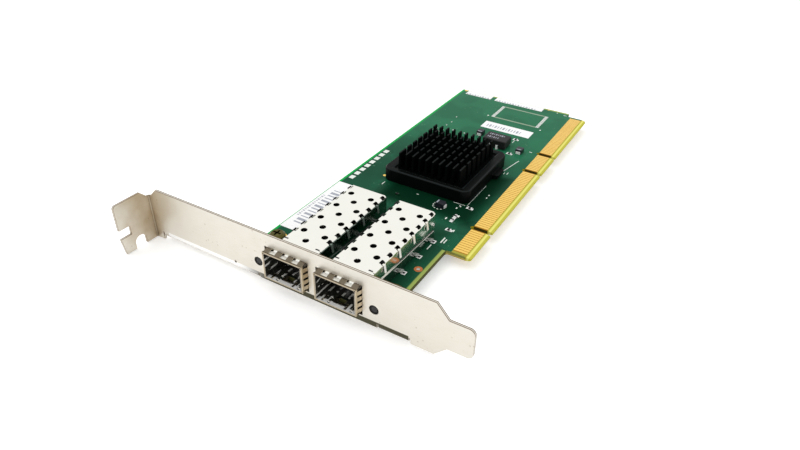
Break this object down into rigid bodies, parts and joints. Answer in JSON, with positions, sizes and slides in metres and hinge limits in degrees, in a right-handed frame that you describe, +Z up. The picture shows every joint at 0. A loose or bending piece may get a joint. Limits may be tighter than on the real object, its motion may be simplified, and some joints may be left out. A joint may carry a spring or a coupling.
{
  "type": "fibre channel adapter",
  "caption": "Expansion card on a full height slot bracket, with pluggable optical module cages, a pin fin heat sink in a clip frame and a gold edge connector.",
  "frame": {"origin": "centre of the foot of the part's box, component side up", "axes": "+X along the bracket towards its tongue, +Y along the board away from the bracket, +Z up"},
  "size_m": [0.12, 0.1818, 0.0193],
  "materials": {
    "solder_mask": "green solder mask over tracks",
    "gold_plating": "thin gold plating",
    "nickel_plate": "warm nickel plate, satin",
    "screw_steel": "bright zinc",
    "cage_plate": "bright tin plate",
    "collar_spring": "plated spring copper",
    "socket_plastic": "moulded black",
    "substrate": "green laminate",
    "lid_metal": "matte nickel",
    "pad_rubber": "grey gap filler",
    "sink_anodised": "black anodised",
    "frame_plastic": "moulded black",
    "package_black": "moulded black",
    "solder_tin": "tinned",
    "capacitor_case": "moulded, dark",
    "light_housing": "moulded black",
    "light_lens": "smoky lens",
    "label_paper": "white label stock"
  },
  "bodies": {
    "root": {"circuit_board": "solder_mask", "edge_contacts_component_side": "gold_plating", "edge_contacts_solder_side": "gold_plating", "bracket": "nickel_plate", "bracket_screws": "screw_steel", "controller_substrate": "substrate", "controller_lid": "lid_metal", "thermal_pad": "pad_rubber", "heat_sink": "sink_anodised", "heat_sink_frame": "frame_plastic", "oscillator_body": "package_black", "oscillator_leads": "solder_tin", "capacitor_bodies": "capacitor_case", "capacitor_terminals": "solder_tin", "chip_resistor_bodies": "package_black", "chip_resistor_ends": "solder_tin", "led_leads": "solder_tin", "barcode_label": "label_paper", "serial_label": "label_paper", "board_end_labels": "label_paper", "sfp_cage_1_cover": "cage_plate", "sfp_cage_1_base": "cage_plate", "sfp_cage_1_emi_collar": "collar_spring", "sfp_connector_1_housing": "socket_plastic", "sfp_connector_1_contacts": "gold_plating", "led_1_housing": "light_housing", "led_1_lens": "light_lens", "sfp_cage_2_cover": "cage_plate", "sfp_cage_2_base": "cage_plate", "sfp_cage_2_emi_collar": "collar_spring", "sfp_connector_2_housing": "socket_plastic", "sfp_connector_2_contacts": "gold_plating", "led_2_housing": "light_housing", "led_2_lens": "light_lens"}
  },
  "joints": []
}
